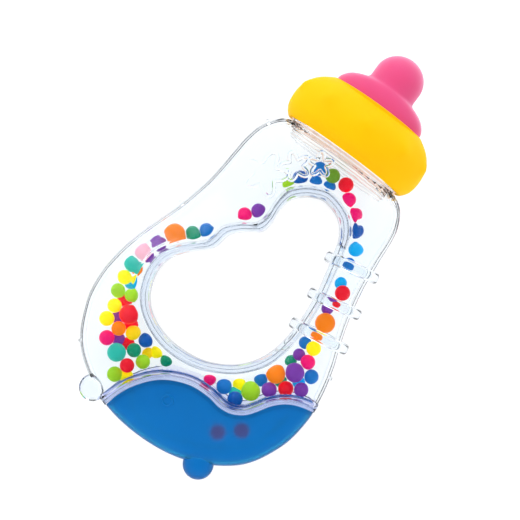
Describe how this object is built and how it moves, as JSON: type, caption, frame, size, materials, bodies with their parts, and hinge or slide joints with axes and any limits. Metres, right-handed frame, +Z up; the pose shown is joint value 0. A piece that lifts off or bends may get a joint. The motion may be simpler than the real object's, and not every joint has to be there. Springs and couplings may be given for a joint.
{
  "type": "baby rattle",
  "caption": "Bottle-shaped baby rattle with a clear hollow body of loose beads, a hand opening, sliding grip rings, a bumpy collar and a soft nipple.",
  "frame": {"origin": "on the resting surface, under the centre of the bounding box, with the rattle lying on its back", "axes": "+Z up out of the front face, +Y along the bottle from the base to the nipple, +X to the right of the front face"},
  "size_m": [0.0866, 0.1584, 0.0343],
  "materials": {
    "clear_shell": "clear, polished moulded plastic",
    "clear_ring": "clear, polished moulded plastic",
    "blue_base": "translucent blue, polished",
    "yellow_collar": "satin yellow plastic",
    "pink_nipple": "soft matte pink",
    "white_plug": "plain white plastic",
    "bead_blue": "opaque blue plastic, polished",
    "bead_crimson": "opaque crimson plastic, polished",
    "bead_gold": "opaque gold plastic, polished",
    "bead_green": "opaque green plastic, polished",
    "bead_lime": "opaque lime plastic, polished",
    "bead_moss": "opaque moss plastic, polished",
    "bead_navy": "opaque navy plastic, polished",
    "bead_orange": "opaque orange plastic, polished",
    "bead_pink": "opaque pink plastic, polished",
    "bead_purple": "opaque purple plastic, polished",
    "bead_red": "opaque red plastic, polished",
    "bead_sky": "opaque sky plastic, polished",
    "bead_teal": "opaque teal plastic, polished",
    "bead_yellow": "opaque yellow plastic, polished"
  },
  "bodies": {
    "bottle": {"rear_shell": "clear_shell", "front_shell": "clear_shell", "base_rear_shell": "blue_base", "base_front_shell": "blue_base", "neck_plug": "white_plug", "nipple": "pink_nipple", "collar": "yellow_collar"},
    "grip_ring_top": {"grip_ring_top_front": "clear_ring", "grip_ring_top_rear": "clear_ring"},
    "grip_ring_middle": {"grip_ring_middle_front": "clear_ring", "grip_ring_middle_rear": "clear_ring"},
    "grip_ring_bottom": {"grip_ring_bottom_front": "clear_ring", "grip_ring_bottom_rear": "clear_ring"},
    "bead_shelf_1_body": {"bead_shelf_1": "bead_purple"},
    "bead_shelf_2_body": {"bead_shelf_2": "bead_crimson"},
    "bead_left_arm_1_body": {"bead_left_arm_1": "bead_blue"},
    "bead_left_arm_2_body": {"bead_left_arm_2": "bead_green"},
    "bead_left_arm_3_body": {"bead_left_arm_3": "bead_orange"},
    "bead_left_arm_4_body": {"bead_left_arm_4": "bead_purple"},
    "bead_left_arm_5_body": {"bead_left_arm_5": "bead_pink"},
    "bead_left_arm_6_body": {"bead_left_arm_6": "bead_teal"},
    "bead_left_arm_7_body": {"bead_left_arm_7": "bead_yellow"},
    "bead_left_arm_8_body": {"bead_left_arm_8": "bead_lime"},
    "bead_left_arm_9_body": {"bead_left_arm_9": "bead_lime"},
    "bead_left_heap_1_body": {"bead_left_heap_1": "bead_red"},
    "bead_left_heap_2_body": {"bead_left_heap_2": "bead_yellow"},
    "bead_left_heap_3_body": {"bead_left_heap_3": "bead_yellow"},
    "bead_left_heap_4_body": {"bead_left_heap_4": "bead_orange"},
    "bead_left_heap_5_body": {"bead_left_heap_5": "bead_gold"},
    "bead_left_heap_6_body": {"bead_left_heap_6": "bead_navy"},
    "bead_left_heap_7_body": {"bead_left_heap_7": "bead_crimson"},
    "bead_left_heap_8_body": {"bead_left_heap_8": "bead_teal"},
    "bead_left_heap_9_body": {"bead_left_heap_9": "bead_green"},
    "bead_left_heap_10_body": {"bead_left_heap_10": "bead_lime"},
    "bead_left_heap_11_body": {"bead_left_heap_11": "bead_red"},
    "bead_left_heap_12_body": {"bead_left_heap_12": "bead_lime"},
    "bead_right_heap_1_body": {"bead_right_heap_1": "bead_blue"},
    "bead_right_heap_2_body": {"bead_right_heap_2": "bead_navy"},
    "bead_right_heap_3_body": {"bead_right_heap_3": "bead_lime"},
    "bead_right_heap_4_body": {"bead_right_heap_4": "bead_purple"},
    "bead_right_heap_5_body": {"bead_right_heap_5": "bead_orange"},
    "bead_right_heap_6_body": {"bead_right_heap_6": "bead_red"},
    "bead_right_heap_7_body": {"bead_right_heap_7": "bead_purple"},
    "bead_right_heap_8_body": {"bead_right_heap_8": "bead_purple"},
    "bead_right_heap_9_body": {"bead_right_heap_9": "bead_blue"},
    "bead_right_heap_10_body": {"bead_right_heap_10": "bead_crimson"},
    "bead_right_heap_11_body": {"bead_right_heap_11": "bead_yellow"},
    "bead_grip_1_body": {"bead_grip_1": "bead_orange"},
    "bead_grip_2_body": {"bead_grip_2": "bead_red"},
    "bead_grip_3_body": {"bead_grip_3": "bead_sky"},
    "bead_top_arm_1_body": {"bead_top_arm_1": "bead_navy"},
    "bead_top_arm_2_body": {"bead_top_arm_2": "bead_crimson"},
    "bead_top_arm_3_body": {"bead_top_arm_3": "bead_crimson"},
    "bead_top_arm_4_body": {"bead_top_arm_4": "bead_red"},
    "bead_top_arm_5_body": {"bead_top_arm_5": "bead_moss"},
    "bead_top_arm_6_body": {"bead_top_arm_6": "bead_blue"},
    "bead_top_arm_7_body": {"bead_top_arm_7": "bead_navy"},
    "bead_base_1_body": {"bead_base_1": "bead_red"},
    "bead_base_2_body": {"bead_base_2": "bead_crimson"}
  },
  "joints": [
    {"name": "grip_ring_top_slide", "type": "slide", "parent": "bottle", "child": "grip_ring_top", "axis": [-0.1908, 0.979, 0.0714], "range_m": [-0.0045, 0.001]},
    {"name": "grip_ring_middle_slide", "type": "slide", "parent": "bottle", "child": "grip_ring_middle", "axis": [-0.1908, 0.979, 0.0714], "range_m": [-0.002, 0.004]},
    {"name": "grip_ring_bottom_slide", "type": "slide", "parent": "bottle", "child": "grip_ring_bottom", "axis": [-0.1564, 0.9851, 0.0718], "range_m": [-0.001, 0.0035]},
    {"name": "bead_shelf_1_slide", "type": "slide", "parent": "bottle", "child": "bead_shelf_1_body", "axis": [0, -0.0727, 0.9974], "range_m": [0, 0.0097]},
    {"name": "bead_shelf_2_slide", "type": "slide", "parent": "bottle", "child": "bead_shelf_2_body", "axis": [0, -0.0727, 0.9974], "range_m": [0, 0.0095]},
    {"name": "bead_left_arm_1_slide", "type": "slide", "parent": "bottle", "child": "bead_left_arm_1_body", "axis": [0, -0.0727, 0.9974], "range_m": [0, 0.0093]},
    {"name": "bead_left_arm_2_slide", "type": "slide", "parent": "bottle", "child": "bead_left_arm_2_body", "axis": [0, -0.0727, 0.9974], "range_m": [0, 0.008]},
    {"name": "bead_left_arm_3_slide", "type": "slide", "parent": "bottle", "child": "bead_left_arm_3_body", "axis": [0, -0.0727, 0.9974], "range_m": [0, 0.0032]},
    {"name": "bead_left_arm_4_slide", "type": "slide", "parent": "bottle", "child": "bead_left_arm_4_body", "axis": [0, -0.0727, 0.9974], "range_m": [0, 0.0062]},
    {"name": "bead_left_arm_5_slide", "type": "slide", "parent": "bottle", "child": "bead_left_arm_5_body", "axis": [0, -0.0727, 0.9974], "range_m": [0, 0.0024]},
    {"name": "bead_left_arm_6_slide", "type": "slide", "parent": "bottle", "child": "bead_left_arm_6_body", "axis": [0, -0.0727, 0.9974], "range_m": [0, 0.0034]},
    {"name": "bead_left_arm_7_slide", "type": "slide", "parent": "bottle", "child": "bead_left_arm_7_body", "axis": [0, -0.0727, 0.9974], "range_m": [0, 0.0043]},
    {"name": "bead_left_arm_8_slide", "type": "slide", "parent": "bottle", "child": "bead_left_arm_8_body", "axis": [0, -0.0727, 0.9974], "range_m": [0, 0.0032]},
    {"name": "bead_left_arm_9_slide", "type": "slide", "parent": "bottle", "child": "bead_left_arm_9_body", "axis": [0, -0.0727, 0.9974], "range_m": [0, 0.0059]},
    {"name": "bead_left_heap_1_slide", "type": "slide", "parent": "bottle", "child": "bead_left_heap_1_body", "axis": [0, -0.0727, 0.9974], "range_m": [0, 0.0031]},
    {"name": "bead_left_heap_2_slide", "type": "slide", "parent": "bottle", "child": "bead_left_heap_2_body", "axis": [0, -0.0727, 0.9974], "range_m": [0, 0.0027]},
    {"name": "bead_left_heap_3_slide", "type": "slide", "parent": "bottle", "child": "bead_left_heap_3_body", "axis": [0, -0.0727, 0.9974], "range_m": [0, 0.0009]},
    {"name": "bead_left_heap_4_slide", "type": "slide", "parent": "bottle", "child": "bead_left_heap_4_body", "axis": [0, -0.0727, 0.9974], "range_m": [0, 0.0027]},
    {"name": "bead_left_heap_5_slide", "type": "slide", "parent": "bottle", "child": "bead_left_heap_5_body", "axis": [0, -0.0727, 0.9974], "range_m": [0, 0.0049]},
    {"name": "bead_left_heap_6_slide", "type": "slide", "parent": "bottle", "child": "bead_left_heap_6_body", "axis": [0, -0.0727, 0.9974], "range_m": [0, 0.0071]},
    {"name": "bead_left_heap_7_slide", "type": "slide", "parent": "bottle", "child": "bead_left_heap_7_body", "axis": [0, -0.0727, 0.9974], "range_m": [0, 0.0011]},
    {"name": "bead_left_heap_8_slide", "type": "slide", "parent": "bottle", "child": "bead_left_heap_8_body", "axis": [0, -0.0727, 0.9974], "range_m": [0, 0.0004]},
    {"name": "bead_left_heap_9_slide", "type": "slide", "parent": "bottle", "child": "bead_left_heap_9_body", "axis": [0, -0.0727, 0.9974], "range_m": [0, 0.0036]},
    {"name": "bead_left_heap_10_slide", "type": "slide", "parent": "bottle", "child": "bead_left_heap_10_body", "axis": [0, -0.0727, 0.9974], "range_m": [0, 0.0046]},
    {"name": "bead_left_heap_11_slide", "type": "slide", "parent": "bottle", "child": "bead_left_heap_11_body", "axis": [0, -0.0727, 0.9974], "range_m": [0, 0.0009]},
    {"name": "bead_left_heap_12_slide", "type": "slide", "parent": "bottle", "child": "bead_left_heap_12_body", "axis": [0, -0.0727, 0.9974], "range_m": [0, 0.0013]},
    {"name": "bead_right_heap_1_slide", "type": "slide", "parent": "bottle", "child": "bead_right_heap_1_body", "axis": [0, -0.0727, 0.9974], "range_m": [0, 0.0077]},
    {"name": "bead_right_heap_2_slide", "type": "slide", "parent": "bottle", "child": "bead_right_heap_2_body", "axis": [0, -0.0727, 0.9974], "range_m": [0, 0.0045]},
    {"name": "bead_right_heap_3_slide", "type": "slide", "parent": "bottle", "child": "bead_right_heap_3_body", "axis": [0, -0.0727, 0.9974], "range_m": [0, 0.0044]},
    {"name": "bead_right_heap_4_slide", "type": "slide", "parent": "bottle", "child": "bead_right_heap_4_body", "axis": [0, -0.0727, 0.9974], "range_m": [0, 0.0049]},
    {"name": "bead_right_heap_5_slide", "type": "slide", "parent": "bottle", "child": "bead_right_heap_5_body", "axis": [0, -0.0727, 0.9974], "range_m": [0, 0.0038]},
    {"name": "bead_right_heap_6_slide", "type": "slide", "parent": "bottle", "child": "bead_right_heap_6_body", "axis": [0, -0.0727, 0.9974], "range_m": [0, 0.0046]},
    {"name": "bead_right_heap_7_slide", "type": "slide", "parent": "bottle", "child": "bead_right_heap_7_body", "axis": [0, -0.0727, 0.9974], "range_m": [0, 0.0012]},
    {"name": "bead_right_heap_8_slide", "type": "slide", "parent": "bottle", "child": "bead_right_heap_8_body", "axis": [0, -0.0727, 0.9974], "range_m": [0, 0.0002]},
    {"name": "bead_right_heap_9_slide", "type": "slide", "parent": "bottle", "child": "bead_right_heap_9_body", "axis": [0, -0.0727, 0.9974], "range_m": [0, 0.0019]},
    {"name": "bead_right_heap_10_slide", "type": "slide", "parent": "bottle", "child": "bead_right_heap_10_body", "axis": [0, -0.0727, 0.9974], "range_m": [0, 0.0025]},
    {"name": "bead_right_heap_11_slide", "type": "slide", "parent": "bottle", "child": "bead_right_heap_11_body", "axis": [0, -0.0727, 0.9974], "range_m": [0, 0.0016]},
    {"name": "bead_grip_1_slide", "type": "slide", "parent": "bottle", "child": "bead_grip_1_body", "axis": [0, -0.0727, 0.9974], "range_m": [0, 0.0027]},
    {"name": "bead_grip_2_slide", "type": "slide", "parent": "bottle", "child": "bead_grip_2_body", "axis": [0, -0.0727, 0.9974], "range_m": [0, 0.0022]},
    {"name": "bead_grip_3_slide", "type": "slide", "parent": "bottle", "child": "bead_grip_3_body", "axis": [0, -0.0727, 0.9974], "range_m": [0, 0.0059]},
    {"name": "bead_top_arm_1_slide", "type": "slide", "parent": "bottle", "child": "bead_top_arm_1_body", "axis": [0, -0.0727, 0.9974], "range_m": [0, 0.0118]},
    {"name": "bead_top_arm_2_slide", "type": "slide", "parent": "bottle", "child": "bead_top_arm_2_body", "axis": [0, -0.0727, 0.9974], "range_m": [0, 0.0125]},
    {"name": "bead_top_arm_3_slide", "type": "slide", "parent": "bottle", "child": "bead_top_arm_3_body", "axis": [0, -0.0727, 0.9974], "range_m": [0, 0.0134]},
    {"name": "bead_top_arm_4_slide", "type": "slide", "parent": "bottle", "child": "bead_top_arm_4_body", "axis": [0, -0.0727, 0.9974], "range_m": [0, 0.0146]},
    {"name": "bead_top_arm_5_slide", "type": "slide", "parent": "bottle", "child": "bead_top_arm_5_body", "axis": [0, -0.0727, 0.9974], "range_m": [0, 0.012]},
    {"name": "bead_top_arm_6_slide", "type": "slide", "parent": "bottle", "child": "bead_top_arm_6_body", "axis": [0, -0.0727, 0.9974], "range_m": [0, 0.0123]},
    {"name": "bead_top_arm_7_slide", "type": "slide", "parent": "bottle", "child": "bead_top_arm_7_body", "axis": [0, -0.0727, 0.9974], "range_m": [0, 0.0123]},
    {"name": "bead_base_1_slide", "type": "slide", "parent": "bottle", "child": "bead_base_1_body", "axis": [0, -0.0727, 0.9974], "range_m": [0, 0.0021]},
    {"name": "bead_base_2_slide", "type": "slide", "parent": "bottle", "child": "bead_base_2_body", "axis": [0, -0.0727, 0.9974], "range_m": [0, 0.0021]}
  ]
}
